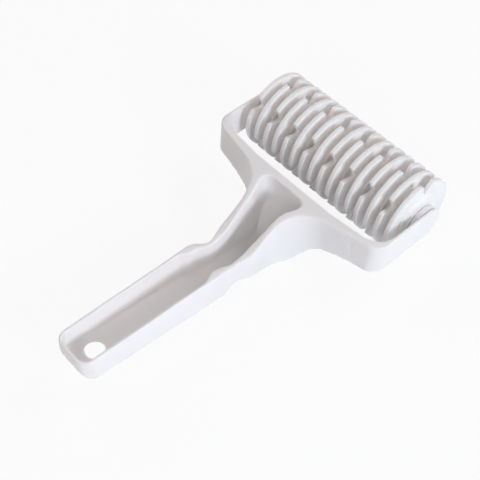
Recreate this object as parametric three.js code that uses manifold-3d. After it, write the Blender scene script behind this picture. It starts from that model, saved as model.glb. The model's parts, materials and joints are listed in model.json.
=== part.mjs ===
// Lattice roller cutter: a moulded fork with a channel handle, and a roller of notched discs.
// Millimetres, +Z up. X runs along the roller, Y from the handle end towards the roller.
import * as THREE from 'three';
import { mergeVertices } from 'three/addons/utils/BufferGeometryUtils.js';
import Module from 'manifold-3d';

// Roller
const DISC_COUNT = 16;
const DISC_RADIUS = 22;
const DISC_PITCH = 6.6;
const DISC_THICKNESS = 2.4;
const RIM_CHAMFER = 0.5;
const NOTCHES = 3;
const NOTCH_WIDTH = 8;
const NOTCH_DEPTH = 7;
const NOTCH_FLOOR = 1.2;
const NOTCH_ANGLE = 40.7;
const HUB_RADIUS = 9.2;
const STEP_RADIUS = 13.5;
const STEP_HEIGHT = 0.5;
const HEX_SIDES = 6;
const HEX_ACROSS_FLATS = 9;
const HEX_CLEARANCE = 0.3;
const STACK_CLEARANCE = 0.3;
const COLLAR_LENGTH = 2.6;

// Bearings between roller and fork
const PIN_RADIUS = 3;
const PIN_LENGTH = 6;
const PIN_CLEARANCE = 0.3;
const END_CLEARANCE = 0.4;

// Fork
const ARM_THICKNESS = 2;
const ARM_RADIUS = 9.2;
const ROLLER_GAP = 14.5;
const BAR_WALL = 4.5;
const BAR_RISE = 1;
const BAR_FLAT = 25;
const BAR_SWEEP = 0.2;
const BAR_EDGE = 0.6;
const BACK_LEAN = 1;
const OUTER_CORNER = 8;
const INNER_CORNER = 11;
const NECK_FILLET = 22;
const NECK_JOIN = 2;

// Handle, with distances taken back from the front face of the crossbar
const HEAD_FLAT = 11;
const BELLY_AT = 18;
const BELLY_DEPTH = 26.3;
const FLARE_AT = 37;
const FLARE_DEPTH = 22.9;
const DIP_AT = 46.8;
const DIP_Z = -7.6;
const DIP_HALF_WIDTH = 9.9;
const GRIP_AT = 58;
const GRIP_RIM_Z = -3;
const GRIP_HALF_WIDTH = 12.1;
const STEP_AT = 66.5;
const STEP_RUN = 7;
const END_AT = 137.8;
const END_RIM_Z = -0.8;
const END_DEPTH = 15.2;
const END_HALF_WIDTH = 11.2;
const END_CORNER = 6;
const END_ROLL = 7;
const FLOOR_ROLL = 4.2;
const BACK_EDGE = 2;
const RIM_WALL = 1.8;
const NECK_CHANNEL = 7.5;
const POCKET_CHANNEL = 9.4;
const POCKET_HALF_WIDTH = 13;
const POCKET_CORNER = 4;
const FLOOR = 2;
const END_FLOOR = 3.9;
const DRAFT = 0.05;
const FLOOR_FILLET = 2;
const HOLE_RADIUS = 4.5;
const HOLE_FLARE = 1.7;
const HOLE_FROM_END = 13.2;

const PLASTIC = { color: 0xf3f3f5, roughness: 0.38, metalness: 0 };
const ARC_STEPS = 6;
const RIM_STEPS = 5;
const EDGE_STEPS = 4;
const BEVEL_STEPS = 2;
const ROUND_STEPS = 18;
const FINE_STATION = 2.4;
const COARSE_STATION = 9;
const WELD_DISTANCE = 1e-4;

// Sizes that follow from the ones above
const stackHalf = ((DISC_COUNT - 1) * DISC_PITCH) / 2;
const hubLength = DISC_PITCH - STACK_CLEARANCE;
const collarInner = stackHalf + hubLength / 2 + STACK_CLEARANCE;
const rollerHalf = collarInner + COLLAR_LENGTH;
const armInner = rollerHalf + END_CLEARANCE;
const armOuter = armInner + ARM_THICKNESS;
const barFront = -(DISC_RADIUS + ROLLER_GAP);
const handleEnd = barFront - END_AT;
const forkTop = ARM_RADIUS;
const forkBottom = -ARM_RADIUS;
const at = (distance) => barFront - distance;

const wasm = await Module();
wasm.setup();

/** Solid of a closed three.js geometry. */
function solid(geometry) {
  const bare = geometry.index ? geometry : geometry.clone();
  bare.deleteAttribute('normal');
  bare.deleteAttribute('uv');
  const merged = mergeVertices(bare, WELD_DISTANCE);
  return new wasm.Manifold(new wasm.Mesh({
    numProp: 3,
    vertProperties: new Float32Array(merged.attributes.position.array),
    triVerts: new Uint32Array(merged.index.array),
  }));
}

/** three.js geometry of a solid. */
function geometryOf(body) {
  const mesh = body.getMesh();
  const geometry = new THREE.BufferGeometry();
  geometry.setAttribute('position', new THREE.BufferAttribute(mesh.vertProperties, 3));
  geometry.setIndex(new THREE.BufferAttribute(mesh.triVerts, 1));
  geometry.computeVertexNormals();
  return geometry;
}

/** Extrusion along X of a profile drawn in Y and Z, centred on a place along X. */
function alongX(shape, length, centre = 0, options = {}) {
  const bevel = options.bevelThickness ?? 0;
  const depth = length - 2 * bevel;
  const settings = { depth, bevelEnabled: false, curveSegments: ARC_STEPS, steps: 1, ...options };
  const geometry = new THREE.ExtrudeGeometry(shape, settings);
  const axes = [new THREE.Vector3(0, 1, 0), new THREE.Vector3(0, 0, 1), new THREE.Vector3(1, 0, 0)];
  geometry.applyMatrix4(new THREE.Matrix4().makeBasis(...axes));
  return geometry.translate(centre - depth / 2, 0, 0);
}

/** Round bar along X. */
function barX(radius, length, centre) {
  const geometry = new THREE.CylinderGeometry(radius, radius, length, ROUND_STEPS);
  return geometry.rotateZ(Math.PI / 2).translate(centre, 0, 0);
}

/** Hexagon profile by its width across flats. */
function hexagon(acrossFlats) {
  const turn = (2 * Math.PI) / HEX_SIDES;
  const reach = acrossFlats / 2 / Math.cos(turn / 2);
  const corner = (_, i) => new THREE.Vector2(reach * Math.cos(i * turn), reach * Math.sin(i * turn));
  return new THREE.Shape(Array.from({ length: HEX_SIDES }, corner));
}

/** Value that eases smoothly between stations given as [place, value], in rising order of place. */
function easing(stations) {
  return (place) => {
    if (place <= stations[0][0]) return stations[0][1];
    for (let i = 1; i < stations.length; i += 1) {
      const [p0, v0] = stations[i - 1];
      const [p1, v1, straight] = stations[i];
      if (place <= p1) {
        const t = (place - p0) / (p1 - p0);
        const share = straight ? t : (1 - Math.cos(Math.PI * t)) / 2;
        return v0 + (v1 - v0) * share;
      }
    }
    return stations[stations.length - 1][1];
  };
}

// Profiles of the frame by distance behind the front of the crossbar
const rimZ = easing([
  [HEAD_FLAT, forkTop],
  [DIP_AT, DIP_Z],
  [GRIP_AT, GRIP_RIM_Z],
  [END_AT, END_RIM_Z, true],
]);
const backZ = easing([
  [NECK_JOIN, forkBottom],
  [BELLY_AT, -BELLY_DEPTH],
  [FLARE_AT, -FLARE_DEPTH],
  [END_AT, -END_DEPTH, true],
]);
const floorThickness = easing([
  [STEP_AT, FLOOR],
  [END_AT, END_FLOOR, true],
]);
const backEdgeRadius = easing([
  [NECK_JOIN, BAR_EDGE],
  [BELLY_AT, BACK_EDGE],
]);
const halfWidth = easing([
  [FLARE_AT, GRIP_HALF_WIDTH],
  [DIP_AT, DIP_HALF_WIDTH],
  [GRIP_AT, GRIP_HALF_WIDTH],
  [END_AT, END_HALF_WIDTH, true],
]);
const channelHalf = easing([
  [BAR_WALL + POCKET_CORNER, POCKET_HALF_WIDTH],
  [HEAD_FLAT + POCKET_HALF_WIDTH - POCKET_CORNER, POCKET_CHANNEL],
  [FLARE_AT, NECK_CHANNEL, true],
  [STEP_AT - STEP_RUN, NECK_CHANNEL],
  [STEP_AT, halfWidth(STEP_AT) - RIM_WALL],
  [END_AT, END_HALF_WIDTH - RIM_WALL, true],
]);

// Edges of the crossbar in plan, and the fillet that runs from its back edge into the neck.
// The back of the crossbar and the sides of neck and handle lean outwards on their way down.
const cornerX = armOuter - OUTER_CORNER;
const backEdge = (x) => at(BAR_RISE) - BAR_SWEEP * (cornerX - x);
const frontLean = BAR_SWEEP / 2;
const frontEdge = (x) => barFront + frontLean * Math.max(0, x - BAR_FLAT);
const slant = (lean) => Math.hypot(1, lean);
const filletX = GRIP_HALF_WIDTH + NECK_FILLET;
const filletY = backEdge(filletX) - NECK_FILLET * slant(BAR_SWEEP);
const filletTop = filletY + NECK_FILLET / slant(BAR_SWEEP);
const leanSlope = BACK_LEAN / (forkTop - forkBottom);
const sideLean = easing([
  [BELLY_AT, 0],
  [FLARE_AT, 1],
]);

/** Half width at a height, which follows the handle, the fillet and the back edge of the crossbar. */
function flareHalf(s, z) {
  const y = at(Math.max(s - leanSlope * (forkTop - z), NECK_JOIN));
  if (y <= filletY) return halfWidth(s);
  if (y >= filletTop) return cornerX - (at(BAR_RISE) - y) / BAR_SWEEP;
  return filletX - Math.sqrt(NECK_FILLET ** 2 - (y - filletY) ** 2);
}

/** Shares of a quarter turn, from its start to its end. */
const quarter = (steps) => Array.from({ length: steps + 1 }, (_, i) => (Math.PI / 2) * (i / steps));

/** Cross-section with eased top edges and two rounded bottom corners. */
function trough(y, topHalf, bottomHalf, top, bottom, radius) {
  const right = quarter(EDGE_STEPS).reverse().map((turn) => new THREE.Vector3(
    bottomHalf - radius + radius * Math.cos(turn),
    y,
    bottom + radius - radius * Math.sin(turn),
  ));
  right.push(new THREE.Vector3(topHalf, y, top - BAR_EDGE));
  right.push(new THREE.Vector3(topHalf - BAR_EDGE, y, top));
  const left = right.map((p) => new THREE.Vector3(-p.x, y, p.z)).reverse();
  return [...left, ...right];
}

/** Closed loft through rings of equal count, in rising order of Y. */
function loft(rings) {
  const count = rings[0].length;
  const index = [];
  for (let i = 0; i + 1 < rings.length; i += 1) {
    for (let j = 0; j < count; j += 1) {
      const a = i * count + j;
      const b = i * count + ((j + 1) % count);
      index.push(a, a + count, b + count, a, b + count, b);
    }
  }
  const flat = rings[0].map((p) => new THREE.Vector2(p.x, p.z));
  const last = (rings.length - 1) * count;
  for (const [a, b, c] of THREE.ShapeUtils.triangulateShape(flat, [])) {
    index.push(a, b, c, last + a, last + c, last + b);
  }
  const geometry = new THREE.BufferGeometry().setFromPoints(rings.flat());
  geometry.setIndex(index);
  return geometry;
}

/** Places along the handle, close together where the outline bends. */
function places(from, to) {
  const list = [];
  for (let s = from; s < to;) {
    list.push(s);
    s += s < STEP_AT ? FINE_STATION : COARSE_STATION;
  }
  return list;
}

/** Outside of neck and handle, with rolled end and rounded back edges. */
function handleBody() {
  const rings = [];
  for (const turn of quarter(ARC_STEPS)) {
    const s = END_AT - END_CORNER * (1 - Math.cos(turn));
    const half = halfWidth(s) - END_CORNER * (1 - Math.sin(turn));
    const back = backZ(s) + END_ROLL * (1 - Math.sin(turn));
    const lean = leanSlope * (rimZ(s) - back);
    rings.push(trough(at(s), half, half + lean, rimZ(s), back, BACK_EDGE));
  }
  const neck = [BAR_EDGE, ...places(NECK_JOIN, BELLY_AT)];
  const grip = places(BELLY_AT, END_AT - END_CORNER - FINE_STATION);
  for (const s of [...neck, ...grip].reverse()) {
    const rim = rimZ(s);
    const back = backZ(s);
    const foot = flareHalf(s, back) + leanSlope * sideLean(s) * (rim - back);
    rings.push(trough(at(s), flareHalf(s, rim), foot, rim, back, backEdgeRadius(s)));
  }
  return loft(rings);
}

/** Hollow of the handle and of the pocket in the head, with draft and a filleted floor. */
function channelBody() {
  const corner = END_CORNER - RIM_WALL;
  const end = END_AT - RIM_WALL;
  const top = forkTop + ARM_RADIUS;
  const ring = (s, half, rise = 0) => {
    const floor = backZ(s) + floorThickness(s) + rise;
    const rim = rimZ(s);
    const foot = half - DRAFT * (rim - floor);
    const crown = half + DRAFT * (top - rim);
    return trough(at(s), crown, foot, top, floor, FLOOR_FILLET);
  };
  const rings = [];
  for (const turn of quarter(ARC_STEPS)) {
    const s = end - corner * (1 - Math.cos(turn));
    const lift = FLOOR_ROLL * (1 - Math.sin(turn));
    rings.push(ring(s, channelHalf(s) - corner * (1 - Math.sin(turn)), lift));
  }
  for (const s of places(BAR_WALL + POCKET_CORNER, end - corner - FINE_STATION).reverse()) {
    rings.push(ring(s, channelHalf(s)));
  }
  for (const turn of quarter(EDGE_STEPS).reverse().slice(1)) {
    const s = BAR_WALL + POCKET_CORNER * (1 - Math.cos(turn));
    rings.push(ring(s, channelHalf(s) - POCKET_CORNER * (1 - Math.sin(turn))));
  }
  return loft(rings);
}

/** Plan of the fork: two arms and the swept crossbar, open at the back where the neck joins. */
function forkPlan() {
  const half = new THREE.Path();
  half.moveTo(0, at(NECK_JOIN));
  half.lineTo(flareHalf(NECK_JOIN, forkTop), at(NECK_JOIN));
  const outerY = backEdge(cornerX) + OUTER_CORNER * slant(BAR_SWEEP);
  half.absarc(cornerX, outerY, OUTER_CORNER, Math.atan(BAR_SWEEP) - Math.PI / 2, 0, false);
  half.lineTo(armOuter, DISC_RADIUS);
  half.lineTo(armInner, DISC_RADIUS);
  const innerX = armInner - INNER_CORNER;
  const innerY = frontEdge(innerX) + INNER_CORNER * slant(frontLean);
  half.absarc(innerX, innerY, INNER_CORNER, 0, Math.atan(frontLean) - Math.PI / 2, true);
  half.lineTo(BAR_FLAT, barFront);
  half.lineTo(0, barFront);
  const right = half.getPoints(ARC_STEPS);
  const left = right.slice(1, -1).reverse().map((p) => new THREE.Vector2(-p.x, p.y));
  return new THREE.Shape([...right, ...left]);
}

/** Fork with eased edges, a leaning back and arm tips rounded about the roller axis. */
function forkBody() {
  const plan = new THREE.ExtrudeGeometry(forkPlan(), {
    depth: 2 * (ARM_RADIUS - BAR_EDGE),
    steps: 1,
    bevelThickness: BAR_EDGE,
    bevelSize: BAR_EDGE,
    bevelOffset: -BAR_EDGE,
    bevelSegments: BEVEL_STEPS,
  });
  plan.translate(0, 0, BAR_EDGE - ARM_RADIUS);
  const leaning = plan.clone().translate(0, 0, -forkTop);
  leaning.applyMatrix4(new THREE.Matrix4().makeShear(0, 0, 0, 0, 0, leanSlope)).translate(0, 0, forkTop);
  const side = new THREE.Shape();
  side.moveTo(at(2 * NECK_FILLET), -2 * ARM_RADIUS);
  side.lineTo(at(0), -2 * ARM_RADIUS);
  side.lineTo(at(0), -ARM_RADIUS);
  side.absarc(0, 0, ARM_RADIUS, -Math.PI / 2, Math.PI / 2, false);
  side.lineTo(at(0), 2 * ARM_RADIUS);
  side.lineTo(at(2 * NECK_FILLET), 2 * ARM_RADIUS);
  const tips = alongX(side, 2 * armOuter + ARM_THICKNESS, 0, { curveSegments: 2 * ARC_STEPS });
  return solid(plan).add(solid(leaning)).intersect(solid(tips));
}

/** One-piece frame: fork, neck and handle, hollowed, pierced and with a bearing pin on each arm. */
function frameBody() {
  const holeAt = END_AT - HOLE_FROM_END;
  const holeDepth = floorThickness(holeAt);
  const slope = HOLE_FLARE / holeDepth;
  const wide = HOLE_RADIUS + 2 * HOLE_FLARE;
  const narrow = HOLE_RADIUS - HOLE_FLARE;
  const hole = new THREE.CylinderGeometry(narrow, wide, (wide - narrow) / slope, ROUND_STEPS);
  hole.rotateX(Math.PI / 2).translate(0, at(holeAt), backZ(holeAt) + holeDepth / 2);
  let body = forkBody().add(solid(handleBody())).subtract(solid(channelBody())).subtract(solid(hole));
  for (const side of [-1, 1]) {
    const root = armInner + ARM_THICKNESS / 2;
    const length = PIN_LENGTH + ARM_THICKNESS / 2;
    body = body.add(solid(barX(PIN_RADIUS, length, side * (root - length / 2))));
  }
  return body;
}

/** Outline of a disc with equal V notches, the first one at a given angle. */
function discOutline(firstAngle) {
  const shape = new THREE.Shape();
  const reach = Math.asin(NOTCH_WIDTH / 2 / DISC_RADIUS);
  const floor = DISC_RADIUS - NOTCH_DEPTH;
  const floorReach = NOTCH_FLOOR / 2 / floor;
  const turn = (2 * Math.PI) / NOTCHES;
  const point = (r, angle) => [r * Math.cos(angle), r * Math.sin(angle)];
  shape.moveTo(...point(floor, firstAngle - floorReach));
  for (let i = 0; i < NOTCHES; i += 1) {
    const mid = firstAngle + i * turn;
    if (i > 0) shape.lineTo(...point(floor, mid - floorReach));
    shape.lineTo(...point(floor, mid + floorReach));
    shape.absarc(0, 0, DISC_RADIUS, mid + reach, mid + turn - reach, false);
  }
  return shape;
}

/** Notched disc with stepped hub and hexagonal bore. */
function discBody(centre, firstAngle) {
  const plate = alongX(discOutline(firstAngle), DISC_THICKNESS, centre, {
    bevelEnabled: true,
    bevelThickness: RIM_CHAMFER,
    bevelSize: RIM_CHAMFER,
    bevelOffset: -RIM_CHAMFER,
    bevelSegments: 1,
    curveSegments: RIM_STEPS,
  });
  const bore = alongX(hexagon(HEX_ACROSS_FLATS + 2 * HEX_CLEARANCE), 2 * hubLength, centre);
  return solid(plate)
    .add(solid(barX(STEP_RADIUS, DISC_THICKNESS + 2 * STEP_HEIGHT, centre)))
    .add(solid(barX(HUB_RADIUS, hubLength, centre)))
    .subtract(solid(bore));
}

/** Hexagonal axle with a round socket in each end for the bearing pins. */
function axleBody() {
  let body = solid(alongX(hexagon(HEX_ACROSS_FLATS), 2 * rollerHalf));
  const depth = PIN_LENGTH - END_CLEARANCE + PIN_CLEARANCE;
  for (const side of [-1, 1]) {
    const socket = barX(PIN_RADIUS + PIN_CLEARANCE, 2 * depth, side * rollerHalf);
    body = body.subtract(solid(socket));
  }
  return body;
}

/** Round collar that fills the stack out to the arm. */
function collarBody(side) {
  const centre = side * (collarInner + COLLAR_LENGTH / 2);
  const bore = alongX(hexagon(HEX_ACROSS_FLATS + 2 * HEX_CLEARANCE), 2 * COLLAR_LENGTH, centre);
  return solid(barX(HUB_RADIUS, COLLAR_LENGTH, centre)).subtract(solid(bore));
}

/** Named mesh with a material of its own. */
function piece(name, body, look) {
  const mesh = new THREE.Mesh(geometryOf(body), new THREE.MeshStandardMaterial(look));
  mesh.name = name;
  return mesh;
}

const roller = new THREE.Group();
roller.add(piece('axle', axleBody(), PLASTIC));
for (let i = 0; i < DISC_COUNT; i += 1) {
  const phase = 180 - NOTCH_ANGLE + (i % 2) * (180 / NOTCHES);
  const centre = i * DISC_PITCH - stackHalf;
  const name = `cutter_disc_${String(i + 1).padStart(2, '0')}`;
  roller.add(piece(name, discBody(centre, THREE.MathUtils.degToRad(phase)), PLASTIC));
}
roller.add(piece('end_collar_left', collarBody(-1), PLASTIC));
roller.add(piece('end_collar_right', collarBody(1), PLASTIC));

const part = new THREE.Group();
part.add(piece('frame', frameBody(), PLASTIC));
part.add(roller);
part.position.set(0, -(DISC_RADIUS + handleEnd) / 2, BELLY_DEPTH);

export default part;
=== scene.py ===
"""Looks of a lattice roller cutter: a white moulded fork with a channel handle and a roller of notched discs.

Sizes are millimetres in a frame whose origin lies on the roller axis, with X along the roller and Y
from the handle end towards the roller. Meshes are placed in metres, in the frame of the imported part.
"""

import json
import logging
import math
from collections.abc import Callable, Iterable
from dataclasses import dataclass
from enum import Enum

import bmesh
import bpy
from mathutils import Matrix, Vector


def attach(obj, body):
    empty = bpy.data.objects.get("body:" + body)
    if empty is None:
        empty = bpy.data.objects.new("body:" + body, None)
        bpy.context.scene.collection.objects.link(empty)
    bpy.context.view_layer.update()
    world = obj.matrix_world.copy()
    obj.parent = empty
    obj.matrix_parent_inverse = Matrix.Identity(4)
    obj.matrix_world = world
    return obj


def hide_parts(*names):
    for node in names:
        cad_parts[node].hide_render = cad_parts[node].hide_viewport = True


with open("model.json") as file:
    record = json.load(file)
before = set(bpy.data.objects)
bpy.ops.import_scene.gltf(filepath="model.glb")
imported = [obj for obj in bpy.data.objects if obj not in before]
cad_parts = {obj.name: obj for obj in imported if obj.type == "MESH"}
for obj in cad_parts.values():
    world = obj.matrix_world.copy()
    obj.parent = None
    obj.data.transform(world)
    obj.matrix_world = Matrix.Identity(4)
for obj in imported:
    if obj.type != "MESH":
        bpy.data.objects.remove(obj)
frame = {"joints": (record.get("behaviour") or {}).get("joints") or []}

LOG = logging.getLogger("lattice_roller_cutter")
MM = 0.001
ROLLER_AXIS = Vector(frame["joints"][0]["pos_m"])
TO_PART = Matrix.Translation(ROLLER_AXIS) @ Matrix.Scale(MM, 4)
SMOOTH_ANGLE = math.radians(38)
TOLERANCE = 1e-4
HEX_SIDES = 6
ROUND_FACETS = 72
EDGE_STEPS = 3


class Body(Enum):
    """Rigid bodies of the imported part."""

    FRAME = "frame"
    ROLLER = "roller"


class Side(Enum):
    """Ends of the roller, by the sign of X."""

    LEFT = -1
    RIGHT = 1


class Cut(Enum):
    """Ways to combine two solids."""

    ADD = "UNION"
    REMOVE = "DIFFERENCE"


class Rounding(Enum):
    """What a rounding is put on."""

    EDGES = "EDGES"
    CORNERS = "VERTICES"


class Turn(Enum):
    """Turn of a disc on the six-sided axle, in degrees."""

    ODD = 0.0
    EVEN = 60.0


# Finishes


@dataclass(frozen=True)
class PlasticFinish:
    """Satin moulded plastic with clouded patches and a fine mould texture. Faint, broad patches are flow
    clouding; darker, finer patches are painted shade.

    Attributes:
        name: Name of the material.
        colour: Colour of the plastic, linear.
        shade: Colour in the clouded patches, linear. Set well below the colour, it makes the patches painted
            shade.
        cloud_and_shade_size: Size of a clouded patch, in metres.
        cloud_and_shade_detail: Finer levels in the clouding.
        cloud_and_shade_span: Noise values at which the shade ends and the full colour starts.
        roughness: Lowest and highest roughness.
        grain_size: Size of the mould texture, in metres.
        grain_depth: Depth of the mould texture, in metres.
        grain_detail: Finer levels in the mould texture.
        grain_strength: Share of the mould texture's depth that shows.
        refraction: Index of refraction.
        translucency: Share of the light that scatters under the surface.
        scatter_depth: Reach of that light, in metres.
        scatter_tint: Share of that reach for red, green and blue.
    """

    name: str
    colour: tuple[float, float, float] = (0.912, 0.90, 0.903)
    shade: tuple[float, float, float] = (0.892, 0.878, 0.878)
    cloud_and_shade_size: float = 0.022
    cloud_and_shade_detail: float = 3.0
    cloud_and_shade_span: tuple[float, float] = (0.3, 0.7)
    roughness: tuple[float, float] = (0.34, 0.44)
    grain_size: float = 0.0006
    grain_depth: float = 0.000012
    grain_detail: float = 2.0
    grain_strength: float = 0.35
    refraction: float = 1.47
    translucency: float = 0.8
    scatter_depth: float = 0.002
    scatter_tint: tuple[float, float, float] = (1.0, 0.9, 0.85)

    def material(self) -> bpy.types.Material:
        """Make the material.

        Returns:
            A node material that reads Object coordinates.
        """
        material = bpy.data.materials.new(self.name)
        material.use_nodes = True
        nodes = material.node_tree.nodes
        link = material.node_tree.links.new
        shader = nodes["Principled BSDF"]
        shader.inputs["IOR"].default_value = self.refraction
        shader.inputs["Subsurface Weight"].default_value = self.translucency
        shader.inputs["Subsurface Scale"].default_value = self.scatter_depth
        shader.inputs["Subsurface Radius"].default_value = self.scatter_tint
        place = nodes.new("ShaderNodeTexCoord").outputs["Object"]

        # Clouded patches: flow clouding where faint and broad, painted shade where dark and fine, as on the
        # roller.
        cloud_and_shade_noise = nodes.new("ShaderNodeTexNoise")
        cloud_and_shade_noise.inputs["Scale"].default_value = 1 / self.cloud_and_shade_size
        cloud_and_shade_noise.inputs["Detail"].default_value = self.cloud_and_shade_detail
        link(place, cloud_and_shade_noise.inputs["Vector"])
        tint = nodes.new("ShaderNodeValToRGB")
        for stop, position, colour in zip(
            tint.color_ramp.elements, self.cloud_and_shade_span, (self.shade, self.colour), strict=True,
        ):
            stop.position = position
            stop.color = (*colour, 1.0)
        link(cloud_and_shade_noise.outputs["Fac"], tint.inputs["Fac"])
        link(tint.outputs["Color"], shader.inputs["Base Color"])

        grain = nodes.new("ShaderNodeTexNoise")
        grain.inputs["Scale"].default_value = 1 / self.grain_size
        grain.inputs["Detail"].default_value = self.grain_detail
        link(place, grain.inputs["Vector"])
        satin = nodes.new("ShaderNodeMapRange")
        satin.inputs["To Min"].default_value = self.roughness[0]
        satin.inputs["To Max"].default_value = self.roughness[1]
        link(grain.outputs["Fac"], satin.inputs["Value"])
        link(satin.outputs["Result"], shader.inputs["Roughness"])
        bump = nodes.new("ShaderNodeBump")
        bump.inputs["Strength"].default_value = self.grain_strength
        bump.inputs["Distance"].default_value = self.grain_depth
        link(grain.outputs["Fac"], bump.inputs["Height"])
        link(bump.outputs["Normal"], shader.inputs["Normal"])
        return material


FRAME_PLASTIC = PlasticFinish("frame_white_plastic")
# Same white plastic as the frame, painted lighter to stand in for the brighter light on the roller. Its
# darker, finer clouding is painted shade: mottled patches standing in for shadows cast by neighbouring discs.
ROLLER_PLASTIC_PAINTED_LIGHTER = PlasticFinish(
    "roller_plastic_painted_lighter", colour=(0.985, 0.948, 0.939), shade=(0.935, 0.893, 0.881), cloud_and_shade_size=0.006,
    roughness=(0.36, 0.46), translucency=1.0, scatter_depth=0.004,
)


# Mesh helpers


def mesh_of(name: str, bm: bmesh.types.BMesh) -> bpy.types.Mesh:
    """Turn a bmesh into a mesh with its faces pointing out.

    Args:
        name: Name of the mesh.
        bm: Closed bmesh, which is freed.

    Returns:
        The new mesh.
    """
    bmesh.ops.recalc_face_normals(bm, faces=bm.faces)
    mesh = bpy.data.meshes.new(name)
    bm.to_mesh(mesh)
    bm.free()
    return mesh


def evaluated(name: str, obj: bpy.types.Object) -> bpy.types.Mesh:
    """Bake an object's modifiers into a new mesh and remove the object.

    Args:
        name: Name of the new mesh.
        obj: Object in the scene.

    Returns:
        The mesh with its modifiers applied.
    """
    graph = bpy.context.evaluated_depsgraph_get()
    mesh = bpy.data.meshes.new_from_object(obj.evaluated_get(graph), depsgraph=graph)
    mesh.name = name
    bpy.data.objects.remove(obj)
    return mesh


def in_scene(name: str, mesh: bpy.types.Mesh) -> bpy.types.Object:
    """Put a mesh in the scene as an object at the origin.

    Args:
        name: Name of the object.
        mesh: Mesh of the object.

    Returns:
        The new object.
    """
    obj = bpy.data.objects.new(name, mesh)
    bpy.context.scene.collection.objects.link(obj)
    return obj


def combined(base: bpy.types.Mesh, steps: Iterable[tuple[Cut, bpy.types.Mesh]]) -> bpy.types.Mesh:
    """Add solids to a solid or remove them from it.

    Args:
        base: Solid to start from.
        steps: Solids in working order, with what is done with each.

    Returns:
        The combined solid.
    """
    body = in_scene(base.name, base)
    tools = []
    for cut, tool in steps:
        other = in_scene(tool.name, tool)
        modifier = body.modifiers.new(tool.name, "BOOLEAN")
        modifier.operation = cut.value
        modifier.solver = "EXACT"
        modifier.object = other
        tools.append(other)
    mesh = evaluated(base.name, body)
    for other in tools:
        bpy.data.objects.remove(other)
    return mesh


def loft(bm: bmesh.types.BMesh, sections: Iterable[list[Vector]]) -> None:
    """Extrude one section through the next ones, which have as many points.

    Args:
        bm: Bmesh that takes the closed loft.
        sections: Closed sections, in order.
    """
    first, *others = sections
    start = face = bm.faces.new([bm.verts.new(point) for point in first])
    for section in others:
        made = bmesh.ops.extrude_face_region(bm, geom=[face])["geom"]
        if face is not start:
            bmesh.ops.delete(bm, geom=[face], context="FACES_ONLY")
        face = next(item for item in made if isinstance(item, bmesh.types.BMFace))
        for vert, point in zip(face.verts, section):
            vert.co = point


def round_off(
    bm: bmesh.types.BMesh, what: Rounding, geom: list[bmesh.types.BMVert] | list[bmesh.types.BMEdge],
    size: float, steps: int, clamp: bool = False,
) -> None:
    """Round edges or corners off.

    Args:
        bm: Bmesh that is changed.
        what: Whether edges or corners are rounded.
        geom: The edges or the corners.
        size: Distance from an edge or corner at which the rounding starts.
        steps: Facets across the rounding.
        clamp: Whether roundings that would meet are held back.
    """
    bmesh.ops.bevel(
        bm, geom=geom, offset=size, affect=what.value, segments=steps, profile=0.5, material=-1,
        clamp_overlap=clamp,
    )


def edges_across_x(bm: bmesh.types.BMesh, slack: float) -> list[bmesh.types.BMEdge]:
    """Edges whose ends differ in X by less than a slack."""
    return [edge for edge in bm.edges if abs(edge.verts[0].co.x - edge.verts[1].co.x) < slack]


def shade_between_edges(mesh: bpy.types.Mesh) -> None:
    """Shade a mesh smooth between its sharp edges."""
    mesh.shade_smooth()
    mesh.set_sharp_from_angle(angle=SMOOTH_ANGLE)


def round_bar(
    name: str, radius: float, start: Vector, end: Vector, end_radius: float | None = None, segments: int = 48,
) -> bpy.types.Mesh:
    """Make a round bar between two points.

    Args:
        name: Name of the mesh.
        radius: Radius of the bar at its start.
        start: Centre of one end.
        end: Centre of the other end.
        end_radius: Radius of the bar at its end, where that differs.
        segments: Facets round the bar.

    Returns:
        The closed bar.
    """
    bm = bmesh.new()
    along = end - start
    turn = along.to_track_quat("Z", "Y").to_matrix().to_4x4()
    place = Matrix.Translation((start + end) / 2) @ turn
    bmesh.ops.create_cone(
        bm, cap_ends=True, segments=segments, radius1=radius, radius2=end_radius or radius,
        depth=along.length, matrix=place,
    )
    return mesh_of(name, bm)


def hex_bar(name: str, across_flats: float, start: float, end: float, edge: float = 0.0) -> bpy.types.Mesh:
    """Make a six-sided bar along X.

    Args:
        name: Name of the mesh.
        across_flats: Width of the hexagon across its flats.
        start: X of one end.
        end: X of the other end.
        edge: Rounding of all edges.

    Returns:
        The closed bar.
    """
    bm = bmesh.new()
    corner = across_flats / math.sqrt(3)
    turn = Matrix.Rotation(math.pi / 2, 4, "Y") @ Matrix.Rotation(math.pi / 2, 4, "Z")
    bmesh.ops.create_cone(
        bm, cap_ends=True, segments=HEX_SIDES, radius1=corner, radius2=corner,
        depth=end - start, matrix=Matrix.Translation(((start + end) / 2, 0, 0)) @ turn,
    )
    if edge:
        round_off(bm, Rounding.EDGES, bm.edges[:], edge, EDGE_STEPS)
    return mesh_of(name, bm)


def eased(*stations: tuple[float, float] | tuple[float, float, bool]) -> Callable[[float], float]:
    """Make a value that eases smoothly from station to station.

    Args:
        stations: Place and value, in rising order of place, with True where the stretch before is straight.

    Returns:
        Function of the place.
    """

    def value(place: float) -> float:
        """Work out the value at one place.

        Args:
            place: Place along the stations.

        Returns:
            The eased value.
        """
        before = stations[0]
        for station in stations:
            if place <= station[0]:
                share = (place - before[0]) / (station[0] - before[0]) if station is not before else 0.0
                if len(station) == 2:
                    share = (1 - math.cos(math.pi * max(0.0, share))) / 2
                return before[1] + (station[1] - before[1]) * share
            before = station
        return before[1]

    return value


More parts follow.
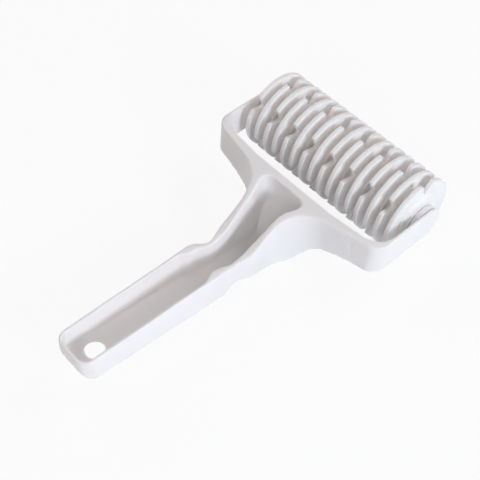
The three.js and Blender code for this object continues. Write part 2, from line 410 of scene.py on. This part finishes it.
@dataclass
class Piece:
    """Finished piece of the object, which rides on a body and stands for a node.

    Attributes:
        node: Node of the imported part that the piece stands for.
        body: Body that carries the piece.
        material: Finish of the piece.
    """

    node: str
    body: Body
    material: bpy.types.Material

    @property
    def slot(self) -> str:
        """Material slot of the piece in the record."""
        return f"{self.body.value}_plastic"

    def place(self, mesh: bpy.types.Mesh) -> None:
        """Place a finished mesh in the part's frame and dress it.

        Args:
            mesh: Mesh in millimetres from the roller axis.
        """
        mesh.transform(TO_PART)
        mesh.materials.clear()
        mesh.materials.append(self.material)
        obj = in_scene(f"{self.node}_piece", mesh)
        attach(obj, self.body.value)
        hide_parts(self.node)
        LOG.info("%s: %d faces on %s", obj.name, len(mesh.polygons), self.body.value)


# Roller


@dataclass
class RollerSizes:
    """Sizes that the pieces of the roller share."""

    disc_count: int = 16
    pitch: float = 6.6
    stack_gap: float = 0.3
    hub_radius: float = 9.2
    hex_across_flats: float = 9.0
    hex_clearance: float = 0.3
    collar_length: float = 2.6
    pin_radius: float = 3.0
    pin_length: float = 6.0
    pin_clearance: float = 0.3
    end_clearance: float = 0.4

    @property
    def stack_half(self) -> float:
        """Distance from the middle of the roller to the middle of an end disc."""
        return (self.disc_count - 1) * self.pitch / 2

    @property
    def hub_length(self) -> float:
        """Length of one hub."""
        return self.pitch - self.stack_gap

    @property
    def collar_inner(self) -> float:
        """Distance from the middle of the roller to the inner face of a collar."""
        return self.stack_half + self.hub_length / 2 + self.stack_gap

    @property
    def half(self) -> float:
        """Half the length of the roller."""
        return self.collar_inner + self.collar_length

    @property
    def bore(self) -> float:
        """Width across flats of the six-sided bores."""
        return self.hex_across_flats + 2 * self.hex_clearance


@dataclass
class NotchedDiscs:
    """Stack of cutter discs with three V notches each, turned by turns on the axle."""

    sizes: RollerSizes
    radius: float = 22.0
    thickness: float = 2.4
    rim_round: float = 0.18
    notches: int = 3
    notch_width: float = 8.0
    notch_depth: float = 7.0
    notch_floor: float = 1.2
    notch_angle: float = 40.7
    mouth_round: float = 0.25
    floor_round: float = 0.5
    step_radius: float = 13.5
    step_height: float = 0.5
    hub_round: float = 0.3
    arc_steps: int = 40
    round_steps: int = 4

    def outline(self, bm: bmesh.types.BMesh, turn: Turn) -> bmesh.types.BMFace:
        """Draw the outline of a disc: arcs of the rim joined by V notches with rounded corners.

        Args:
            bm: Bmesh that takes the outline.
            turn: Turn of the disc on the axle.

        Returns:
            Flat face across X.
        """
        reach = math.asin(self.notch_width / 2 / self.radius)
        floor = self.radius - self.notch_depth
        floor_reach = self.notch_floor / 2 / floor
        sector = math.tau / self.notches
        first = math.radians(180 - self.notch_angle + turn.value)
        pairs = []
        starts = []
        ends = []
        for index in range(self.notches):
            middle = first + index * sector
            pairs.append([bm.verts.new(self.at(floor, middle + side * floor_reach)) for side in (-1, 1)])
            starts.append(bm.verts.new(self.at(self.radius, middle + reach)))
            spun = bmesh.ops.spin(
                bm, geom=starts[-1:], axis=(1, 0, 0), cent=(0, 0, 0), angle=sector - 2 * reach,
                steps=self.arc_steps, use_merge=False,
            )
            ends.append(next(item for item in spun["geom_last"] if isinstance(item, bmesh.types.BMVert)))
        for pair, start, before in zip(pairs, starts, ends[-1:] + ends[:-1]):
            for link in ((before, pair[0]), tuple(pair), (pair[1], start)):
                bm.edges.new(link)
        bmesh.ops.contextual_create(bm, geom=bm.edges[:])
        floors = [vert for pair in pairs for vert in pair]
        for corners, size in ((starts + ends, self.mouth_round), (floors, self.floor_round)):
            round_off(bm, Rounding.CORNERS, corners, size, self.round_steps)
        return next(iter(bm.faces))

    @staticmethod
    def at(radius: float, angle: float) -> Vector:
        """Point in the plane across X, by radius and angle from +Y."""
        return Vector((0, radius * math.cos(angle), radius * math.sin(angle)))

    def plate(self, turn: Turn) -> bpy.types.Mesh:
        """Make the notched plate with its rounded rim.

        Args:
            turn: Turn of the disc on the axle.

        Returns:
            Closed plate, centred on X 0.
        """
        bm = bmesh.new()
        face = self.outline(bm, turn)
        bmesh.ops.translate(bm, verts=bm.verts[:], vec=(-self.thickness / 2, 0, 0))
        made = bmesh.ops.extrude_face_region(bm, geom=[face])["geom"]
        raised = [item for item in made if isinstance(item, bmesh.types.BMVert)]
        bmesh.ops.translate(bm, verts=raised, vec=(self.thickness, 0, 0))
        rim = edges_across_x(bm, self.thickness / 2)
        round_off(bm, Rounding.EDGES, rim, self.rim_round, self.round_steps, clamp=True)
        return mesh_of("disc_plate", bm)

    def hub(self) -> bpy.types.Mesh:
        """Make the hub with its step on both faces of the plate.

        Returns:
            Closed body of revolution about X.
        """
        bm = bmesh.new()
        end = self.sizes.hub_length / 2
        shoulder = self.thickness / 2 + self.step_height
        profile = [
            (-end, 0.0), (-end, self.sizes.hub_radius), (-shoulder, self.sizes.hub_radius),
            (-shoulder, self.step_radius), (shoulder, self.step_radius),
            (shoulder, self.sizes.hub_radius), (end, self.sizes.hub_radius), (end, 0.0),
        ]
        verts = [bm.verts.new((x, radius, 0)) for x, radius in profile]
        for pair in zip(verts, verts[1:]):
            bm.edges.new(pair)
        round_off(bm, Rounding.CORNERS, verts[1:-1], self.hub_round, EDGE_STEPS)
        bmesh.ops.spin(
            bm, geom=bm.verts[:] + bm.edges[:], axis=(1, 0, 0), cent=(0, 0, 0), angle=math.tau,
            steps=ROUND_FACETS, use_merge=True,
        )
        bmesh.ops.remove_doubles(bm, verts=bm.verts[:], dist=TOLERANCE)
        return mesh_of("disc_hub", bm)

    def disc(self, turn: Turn) -> bpy.types.Mesh:
        """Make one disc about X 0.

        Args:
            turn: Turn of the disc on the axle.

        Returns:
            Closed disc with plate, hub and six-sided bore.
        """
        bore = hex_bar("disc_bore", self.sizes.bore, -self.sizes.pitch, self.sizes.pitch)
        mesh = combined(self.plate(turn), [(Cut.ADD, self.hub()), (Cut.REMOVE, bore)])
        shade_between_edges(mesh)
        return mesh

    def build(self, finish: bpy.types.Material) -> None:
        """Make all discs of the stack.

        Args:
            finish: Material of the roller.
        """
        shapes = {turn: self.disc(turn) for turn in Turn}
        for index in range(self.sizes.disc_count):
            turn = Turn.EVEN if index % 2 else Turn.ODD
            mesh = shapes[turn].copy()
            mesh.transform(Matrix.Translation((index * self.sizes.pitch - self.sizes.stack_half, 0, 0)))
            Piece(f"cutter_disc_{index + 1:02d}", Body.ROLLER, finish).place(mesh)


@dataclass
class AxleAndCollars:
    """Six-sided axle with a socket in each end, and the collars that fill the stack out to the arms."""

    sizes: RollerSizes
    axle_edge: float = 0.35
    lead_in: float = 0.55
    collar_edge: float = 0.4

    def axle(self) -> bpy.types.Mesh:
        """Make the axle.

        Returns:
            Closed six-sided bar with round sockets.
        """
        sizes = self.sizes
        bar = hex_bar("axle", sizes.hex_across_flats, -sizes.half, sizes.half, self.axle_edge)
        radius = sizes.pin_radius + sizes.pin_clearance
        inward = sizes.pin_length - sizes.end_clearance + sizes.pin_clearance
        sockets = []
        for side in Side:
            mouth = Vector((side.value * sizes.half, 0, 0))
            depth = Vector((side.value * inward, 0, 0))
            lead = Vector((side.value * self.lead_in, 0, 0))
            sockets.append((Cut.REMOVE, round_bar("axle_socket", radius, mouth - depth, mouth + depth)))
            flare = round_bar("axle_lead_in", radius, mouth - lead, mouth + lead, radius + 2 * self.lead_in)
            sockets.append((Cut.REMOVE, flare))
        return combined(bar, sockets)

    def collar(self, side: Side) -> bpy.types.Mesh:
        """Make one collar.

        Args:
            side: End of the roller.

        Returns:
            Closed ring with a six-sided bore.
        """
        sizes = self.sizes
        bm = bmesh.new()
        middle = side.value * (sizes.collar_inner + sizes.collar_length / 2)
        place = Matrix.Translation((middle, 0, 0)) @ Matrix.Rotation(math.pi / 2, 4, "Y")
        bmesh.ops.create_cone(
            bm, cap_ends=True, segments=ROUND_FACETS, radius1=sizes.hub_radius, radius2=sizes.hub_radius,
            depth=sizes.collar_length, matrix=place,
        )
        round_off(bm, Rounding.EDGES, edges_across_x(bm, self.collar_edge), self.collar_edge, EDGE_STEPS)
        bore = hex_bar("collar_bore", sizes.bore, middle - sizes.pitch, middle + sizes.pitch)
        return combined(mesh_of("collar", bm), [(Cut.REMOVE, bore)])

    def build(self, finish: bpy.types.Material) -> None:
        """Make the axle and both collars.

        Args:
            finish: Material of the roller.
        """
        pieces = {"axle": self.axle()}
        for side in Side:
            pieces[f"end_collar_{side.name.lower()}"] = self.collar(side)
        for node, mesh in pieces.items():
            shade_between_edges(mesh)
            Piece(node, Body.ROLLER, finish).place(mesh)


# Frame


@dataclass
class MouldedFrame:
    """One-piece moulding: fork, neck with head pocket, and channel handle with a hanging hole.

    Distances along the handle are taken back from the front face of the crossbar.
    """

    sizes: RollerSizes
    arm_thickness: float = 2.0
    arm_radius: float = 9.2
    bar_front: float = -36.5
    bar_rise: float = 1.0
    bar_flat: float = 25.0
    bar_sweep: float = 0.2
    front_sweep: float = 0.1
    bar_wall: float = 4.5
    outer_corner: float = 8.0
    inner_corner: float = 11.0
    bar_edge: float = 0.6
    back_lean: float = 1.0
    neck_fillet: float = 22.0
    neck_join: float = 2.0
    head_flat: float = 11.0
    belly_at: float = 18.0
    belly_depth: float = 26.3
    flare_at: float = 37.0
    flare_depth: float = 22.9
    dip_at: float = 46.8
    dip_z: float = -7.6
    dip_half_width: float = 9.9
    grip_at: float = 58.0
    grip_rim_z: float = -3.0
    grip_half_width: float = 12.1
    step_at: float = 66.5
    step_run: float = 7.0
    end_at: float = 137.8
    end_rim_z: float = -0.8
    end_depth: float = 15.2
    end_half_width: float = 11.2
    end_corner: float = 6.0
    end_roll: float = 7.0
    floor_roll: float = 4.2
    back_edge: float = 2.4
    rim_wall: float = 1.8
    neck_channel: float = 7.5
    pocket_channel: float = 9.4
    pocket_half_width: float = 13.0
    pocket_corner: float = 4.0
    floor: float = 2.0
    end_floor: float = 3.9
    draft: float = 0.05
    floor_fillet: float = 1.0
    hole_radius: float = 4.5
    hole_flare: float = 1.7
    hole_from_end: float = 13.2
    hole_facets: int = 64
    tip_share: float = 0.999
    station_step: float = 1.2
    corner_steps: int = 6
    turn_steps: int = 8
    plan_steps: int = 12
    voxel: float = 0.6
    smoothing: int = 5
    smooth_share: float = 0.5

    def __post_init__(self) -> None:
        """Work out the profiles along the handle."""
        self.arm_inner = self.sizes.half + self.sizes.end_clearance
        self.arm_outer = self.arm_inner + self.arm_thickness
        self.corner_x = self.arm_outer - self.outer_corner
        self.lean_slope = self.back_lean / (2 * self.arm_radius)
        self.rim_z = eased(
            (self.head_flat, self.arm_radius), (self.dip_at, self.dip_z),
            (self.grip_at, self.grip_rim_z), (self.end_at, self.end_rim_z, True),
        )
        self.back_z = eased(
            (self.neck_join, -self.arm_radius), (self.belly_at, -self.belly_depth),
            (self.flare_at, -self.flare_depth), (self.end_at, -self.end_depth, True),
        )
        self.floor_thickness = eased((self.step_at, self.floor), (self.end_at, self.end_floor, True))
        self.side_lean = eased((self.belly_at, 0.0), (self.flare_at, self.lean_slope))
        self.back_round = eased((self.neck_join, self.bar_edge), (self.belly_at, self.back_edge))
        self.half_width = eased(
            (self.flare_at, self.grip_half_width), (self.dip_at, self.dip_half_width),
            (self.grip_at, self.grip_half_width), (self.end_at, self.end_half_width, True),
        )
        self.channel_half = eased(
            (self.bar_wall + self.pocket_corner, self.pocket_half_width),
            (self.head_flat + self.pocket_half_width - self.pocket_corner, self.pocket_channel),
            (self.flare_at, self.neck_channel, True),
            (self.step_at - self.step_run, self.neck_channel),
            (self.step_at, self.half_width(self.step_at) - self.rim_wall),
            (self.end_at, self.end_half_width - self.rim_wall, True),
        )

    def back_edge_y(self, x: float) -> float:
        """Y of the crossbar's straight back edge at an X."""
        return self.bar_front - self.bar_rise - self.bar_sweep * (self.corner_x - x)

    def flare_half(self, s: float, z: float) -> float:
        """Half width along the handle, the fillet of the neck and the leaning back edge of the crossbar.

        Args:
            s: Distance behind the front of the crossbar.
            z: Height above the roller axis.

        Returns:
            Half the width there.
        """
        y = self.bar_front - max(s - self.lean_slope * (self.arm_radius - z), self.neck_join)
        slant = math.hypot(1.0, self.bar_sweep)
        centre_x = self.grip_half_width + self.neck_fillet
        centre_y = self.back_edge_y(centre_x) - self.neck_fillet * slant
        if y <= centre_y:
            return self.half_width(s)
        if y >= centre_y + self.neck_fillet / slant:
            return self.corner_x - (self.back_edge_y(self.corner_x) - y) / self.bar_sweep
        return centre_x - math.sqrt(self.neck_fillet**2 - (y - centre_y) ** 2)

    def stations(self, start: float, end: float) -> list[float]:
        """Distances along the handle, evenly apart."""
        count = math.ceil((end - start) / self.station_step)
        return [start + (end - start) * index / count for index in range(count + 1)]

    def trough(
        self, s: float, halves: tuple[float, float], top: float, bottom: float, radius: float
    ) -> list[Vector]:
        """Draw a section across the handle with rounded bottom corners.

        Args:
            s: Distance behind the front of the crossbar.
            halves: Half the width at the top and at the bottom.
            top: Z of the top.
            bottom: Z of the bottom.
            radius: Radius of the bottom corners.

        Returns:
            Points of the closed section.
        """
        y = self.bar_front - s
        right = [
            Vector((halves[1] - radius * (1 - math.cos(turn)), y, bottom + radius * (1 - math.sin(turn))))
            for turn in reversed(self.quarter(self.corner_steps))
        ]
        right.append(Vector((halves[0], y, top)))
        return [Vector((-point.x, y, point.z)) for point in reversed(right)] + right

    @staticmethod
    def quarter(steps: int) -> list[float]:
        """Angles of a quarter turn in equal steps."""
        return [math.pi / 2 * index / steps for index in range(steps + 1)]

    def handle(self) -> bpy.types.Mesh:
        """Make the outside of neck and handle, with a rolled end.

        Returns:
            Closed loft.
        """
        sections = []
        neck = [self.bar_edge, *self.stations(self.neck_join, self.belly_at)[:-1]]
        for s in neck + self.stations(self.belly_at, self.end_at - self.end_corner):
            rim = self.rim_z(s)
            back = self.back_z(s)
            halves = (self.flare_half(s, rim), self.flare_half(s, back) + self.side_lean(s) * (rim - back))
            sections.append(self.trough(s, halves, rim, back, self.back_round(s)))
        for turn in self.quarter(self.turn_steps)[1:]:
            s = self.end_at - self.end_corner * (1 - math.sin(turn))
            half = self.half_width(s) - self.end_corner * (1 - math.cos(turn))
            back = self.back_z(s) + self.end_roll * (1 - math.cos(turn))
            rim = self.rim_z(s)
            halves = (half, half + self.side_lean(s) * (rim - back))
            sections.append(self.trough(s, halves, rim, back, self.back_edge))
        bm = bmesh.new()
        loft(bm, sections)
        return mesh_of("handle", bm)

    def hollow_section(self, s: float, half: float, rise: float = 0.0) -> list[Vector]:
        """Draw a section across the hollow, which reaches well above the rims.

        Args:
            s: Distance behind the front of the crossbar.
            half: Half the width at the rim.
            rise: Rise of the floor.

        Returns:
            Points of the closed section.
        """
        top = 2 * self.arm_radius
        floor = self.back_z(s) + self.floor_thickness(s) + rise
        rim = self.rim_z(s)
        halves = (half + self.draft * (top - rim), half - self.draft * (rim - floor))
        return self.trough(s, halves, top, floor, self.floor_fillet)

    def hollow(self) -> bpy.types.Mesh:
        """Make the hollow of head pocket and handle channel, with draft and a filleted floor.

        Returns:
            Closed loft that is taken out of the moulding.
        """
        corner = self.end_corner - self.rim_wall
        end = self.end_at - self.rim_wall
        sections = []
        for turn in self.quarter(self.turn_steps)[:-1]:
            s = self.bar_wall + self.pocket_corner * (1 - math.cos(turn))
            half = self.channel_half(s) - self.pocket_corner * (1 - math.sin(turn))
            sections.append(self.hollow_section(s, half))
        for s in self.stations(self.bar_wall + self.pocket_corner, end - corner):
            sections.append(self.hollow_section(s, self.channel_half(s)))
        for turn in self.quarter(self.turn_steps)[1:]:
            s = end - corner * (1 - math.sin(turn))
            half = self.channel_half(s) - corner * (1 - math.cos(turn))
            sections.append(self.hollow_section(s, half, self.floor_roll * (1 - math.cos(turn))))
        bm = bmesh.new()
        loft(bm, sections)
        return mesh_of("hollow", bm)

    def fork(self) -> bpy.types.Mesh:
        """Make crossbar and arms, with rounded corners in plan and round arm tips.

        Returns:
            Closed fork.
        """
        bm = bmesh.new()
        tip = self.arm_radius
        outer = (self.arm_outer, self.back_edge_y(self.arm_outer))
        inner = (self.arm_inner, self.bar_front + self.front_sweep * (self.arm_inner - self.bar_flat))
        right = [
            (self.flare_half(self.neck_join, self.arm_radius), self.bar_front - self.neck_join),
            outer,
            (self.arm_outer, tip),
            (self.arm_inner, tip),
            inner,
            (self.bar_flat, self.bar_front),
        ]
        points = right + [(-x, y) for x, y in reversed(right)]
        verts = [bm.verts.new((x, y, -self.arm_radius)) for x, y in points]
        bm.faces.new(verts)
        rounds = ((outer, self.outer_corner, self.bar_sweep), (inner, self.inner_corner, self.front_sweep))
        for point, radius, slope in rounds:
            index = right.index(point)
            reach = radius * math.tan((math.pi / 2 - math.atan(slope)) / 2)
            round_off(bm, Rounding.CORNERS, [verts[index], verts[-1 - index]], reach, self.plan_steps)
        made = bmesh.ops.extrude_face_region(bm, geom=bm.faces[:])["geom"]
        raised = [item for item in made if isinstance(item, bmesh.types.BMVert)]
        bmesh.ops.translate(bm, verts=raised, vec=(0, 0, 2 * self.arm_radius))
        tips = [edge for edge in bm.edges if self.is_tip(edge, tip)]
        round_off(bm, Rounding.EDGES, tips, self.arm_radius * self.tip_share, self.plan_steps)
        return mesh_of("fork", bm)

    def leaning(self, fork: bpy.types.Mesh) -> bpy.types.Mesh:
        """Make a copy of the fork whose foot is pushed back, which gives the crossbar its leaning back.

        Args:
            fork: Fork with upright walls.

        Returns:
            Sheared copy, flush with the fork at the top.
        """
        copy = fork.copy()
        # Y moves with Z, and not at all at the top
        shear = Matrix.Identity(4)
        shear[1][2] = self.lean_slope
        shear[1][3] = -self.lean_slope * self.arm_radius
        copy.transform(shear)
        return copy

    @staticmethod
    def is_tip(edge: bmesh.types.BMEdge, tip: float) -> bool:
        """Tell whether an edge runs along X at the tip of an arm."""
        level = abs(edge.verts[0].co.z - edge.verts[1].co.z) < TOLERANCE
        return level and all(abs(vert.co.y - tip) < TOLERANCE for vert in edge.verts)

    def pins(self) -> list[tuple[Cut, bpy.types.Mesh]]:
        """Make the bearing pins on the inside of the arms.

        Returns:
            Pins to add to the moulding.
        """
        made = []
        for side in Side:
            root = Vector((side.value * (self.arm_inner + self.arm_thickness / 2), 0, 0))
            end = Vector((side.value * (self.arm_inner - self.sizes.pin_length), 0, 0))
            made.append((Cut.ADD, round_bar("pin", self.sizes.pin_radius, root, end)))
        return made

    def hole(self) -> bpy.types.Mesh:
        """Make the cone that pierces the hanging hole, wider towards the back of the handle.

        Returns:
            Closed cone that reaches past both faces of the floor.
        """
        s = self.end_at - self.hole_from_end
        depth = Vector((0, 0, self.floor_thickness(s)))
        back = Vector((0, self.bar_front - s, self.back_z(s)))
        wide = self.hole_radius + 2 * self.hole_flare
        narrow = self.hole_radius - self.hole_flare
        return round_bar("hanging_hole", wide, back - depth, back + 2 * depth, narrow, self.hole_facets)

    def moulded(self, solid: bpy.types.Mesh) -> bpy.types.Mesh:
        """Even out a combined solid and ease its edges as moulding does.

        Args:
            solid: Closed solid with sharp edges, in millimetres.

        Returns:
            Fine mesh with rounded edges.
        """
        obj = in_scene(solid.name, solid)
        remesh = obj.modifiers.new("even", "REMESH")
        remesh.mode = "VOXEL"
        remesh.voxel_size = self.voxel
        mesh = evaluated("frame", obj)
        bm = bmesh.new()
        bm.from_mesh(mesh)
        for _ in range(self.smoothing):
            bmesh.ops.smooth_vert(
                bm, verts=bm.verts[:], factor=self.smooth_share,
                use_axis_x=True, use_axis_y=True, use_axis_z=True,
            )
        bm.to_mesh(mesh)
        bm.free()
        mesh.shade_smooth()
        return mesh

    def build(self, finish: bpy.types.Material) -> None:
        """Make the moulding.

        Args:
            finish: Material of the frame.
        """
        fork = self.fork()
        steps = [
            (Cut.ADD, self.leaning(fork)), (Cut.ADD, self.handle()), (Cut.REMOVE, self.hollow()),
            (Cut.REMOVE, self.hole()), *self.pins(),
        ]
        solid = combined(fork, steps)
        Piece("frame", Body.FRAME, finish).place(self.moulded(solid))


# Studio


WHITE = (1.0, 1.0, 1.0)
COOL_WHITE = (0.84, 0.905, 1.0)
WARM_WHITE = (1.0, 0.957, 0.94)


@dataclass(frozen=True)
class Softbox:
    """Square lamp that shines at the middle of the object.

    Attributes:
        name: Name of the lamp.
        place: Place of the lamp, in metres.
        size: Side of the lamp, in metres.
        power: Power, in watts.
        colour: Colour of the light.
    """

    name: str
    place: tuple[float, float, float]
    size: float
    power: float
    colour: tuple[float, float, float]

    def build(self) -> None:
        """Hang the lamp."""
        lamp = bpy.data.lights.new(self.name, "AREA")
        lamp.shape = "SQUARE"
        lamp.size = self.size
        lamp.energy = self.power
        lamp.color = self.colour
        obj = bpy.data.objects.new(self.name, lamp)
        obj.location = self.place
        obj.rotation_euler = (-Vector(self.place)).to_track_quat("-Z", "Y").to_euler()
        bpy.context.scene.collection.objects.link(obj)


@dataclass
class Studio:
    """White floor and room, with a cool key from the right and weaker, warmer softboxes on the other sides.

    Attributes:
        floor_size: Side of the floor, in metres.
        floor_glow: Share of plain white in the floor as the camera sees it. The rest takes light and shadow.
        floor_colour: Colour of the floor, linear.
        floor_roughness: Roughness of the floor.
        room_light: Even light from all sides.
        lamps: Softboxes round the object.
    """

    floor_size: float = 6.0
    floor_glow: float = 0.90
    floor_colour: tuple[float, float, float] = (0.88, 0.90, 0.93)
    floor_roughness: float = 0.9
    room_light: tuple[float, float, float] = (0.135, 0.126, 0.122)
    lamps: tuple[Softbox, ...] = (
        Softbox("key_softbox", (1.150, 0.0, 0.561), 0.3, 8.7, COOL_WHITE),
        Softbox("front_softbox", (0.520, -0.979, 0.640), 0.8, 4.05, WARM_WHITE),
        Softbox("rear_softbox", (0.271, 1.013, 0.734), 0.8, 3.85, WARM_WHITE),
        Softbox("left_softbox", (-0.981, 0.0, 0.823), 0.8, 4.4, WARM_WHITE),
    )

    @staticmethod
    def seen_directly(tree: bpy.types.NodeTree) -> bpy.types.NodeSocket:
        """Make a value of 1 for what the camera sees directly, mirrored or through glass.

        Args:
            tree: Node tree that takes the nodes.

        Returns:
            Output socket of the value.
        """
        path = tree.nodes.new("ShaderNodeLightPath").outputs
        result = path["Is Camera Ray"]
        for name in ("Is Glossy Ray", "Is Transmission Ray"):
            larger = tree.nodes.new("ShaderNodeMath")
            larger.operation = "MAXIMUM"
            tree.links.new(result, larger.inputs[0])
            tree.links.new(path[name], larger.inputs[1])
            result = larger.outputs[0]
        return result

    def floor(self) -> None:
        """Lay the white floor, which keeps a soft shadow."""
        bm = bmesh.new()
        bmesh.ops.create_grid(bm, x_segments=1, y_segments=1, size=self.floor_size / 2)
        mesh = mesh_of("floor", bm)
        material = bpy.data.materials.new("white_floor")
        material.use_nodes = True
        tree = material.node_tree
        diffuse = tree.nodes["Principled BSDF"]
        diffuse.inputs["Base Color"].default_value = (*self.floor_colour, 1.0)
        diffuse.inputs["Roughness"].default_value = self.floor_roughness
        glow = tree.nodes.new("ShaderNodeEmission")
        share = tree.nodes.new("ShaderNodeMath")
        share.operation = "MULTIPLY"
        share.inputs[1].default_value = self.floor_glow
        tree.links.new(self.seen_directly(tree), share.inputs[0])
        mix = tree.nodes.new("ShaderNodeMixShader")
        tree.links.new(share.outputs[0], mix.inputs["Fac"])
        tree.links.new(diffuse.outputs["BSDF"], mix.inputs[1])
        tree.links.new(glow.outputs["Emission"], mix.inputs[2])
        tree.links.new(mix.outputs["Shader"], tree.nodes["Material Output"].inputs["Surface"])
        mesh.materials.append(material)
        floor = in_scene("floor", mesh)

    def world(self) -> None:
        """Fill the room with even light behind a white background."""
        world = bpy.data.worlds.new("white_room")
        bpy.context.scene.world = world
        world.use_nodes = True
        tree = world.node_tree
        choice = tree.nodes.new("ShaderNodeMix")
        choice.data_type = "RGBA"
        choice.inputs["A"].default_value = (*self.room_light, 1.0)
        choice.inputs["B"].default_value = (*WHITE, 1.0)
        tree.links.new(self.seen_directly(tree), choice.inputs["Factor"])
        backdrop = tree.nodes["Background"]
        backdrop.inputs["Strength"].default_value = 1.0
        tree.links.new(choice.outputs["Result"], backdrop.inputs["Color"])

    def build(self) -> None:
        """Set up floor, world and lamps."""
        bpy.context.scene.view_settings.view_transform = "Standard"
        self.floor()
        self.world()
        for lamp in self.lamps:
            lamp.build()


@dataclass
class PhotoCamera:
    """Camera at the photograph's viewing angle, by its aim in millimetres from the roller axis."""

    azimuth: float = 46.70
    elevation: float = 52.32
    roll: float = 1.67
    distance: float = 454.6
    aim: tuple[float, float, float] = (4.26, -75.60, 0.61)
    lens: float = 70.65

    def build(self) -> None:
        """Place the camera and make it the scene's own."""
        azimuth = math.radians(self.azimuth)
        elevation = math.radians(self.elevation)
        back = Vector((
            math.sin(azimuth) * math.cos(elevation),
            -math.cos(azimuth) * math.cos(elevation),
            math.sin(elevation),
        ))
        across = Vector((math.cos(azimuth), math.sin(azimuth), 0))
        turn = Matrix((across, back.cross(across), back)).transposed()
        turn = turn @ Matrix.Rotation(math.radians(self.roll), 3, "Z")
        data = bpy.data.cameras.new("photo_camera")
        data.lens = self.lens
        camera = bpy.data.objects.new("photo_camera", data)
        place = TO_PART @ (Vector(self.aim) + back * self.distance)
        camera.matrix_world = Matrix.Translation(place) @ turn.to_4x4()
        bpy.context.scene.collection.objects.link(camera)
        bpy.context.scene.camera = camera


def main() -> None:
    """Build camera, studio, frame and roller in order."""
    logging.basicConfig(level=logging.INFO, format="%(name)s: %(message)s")
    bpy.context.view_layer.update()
    PhotoCamera().build()
    Studio().build()
    sizes = RollerSizes()
    MouldedFrame(sizes).build(FRAME_PLASTIC.material())
    roller_finish = ROLLER_PLASTIC_PAINTED_LIGHTER.material()
    NotchedDiscs(sizes).build(roller_finish)
    AxleAndCollars(sizes).build(roller_finish)


if __name__ == "__main__":
    main()
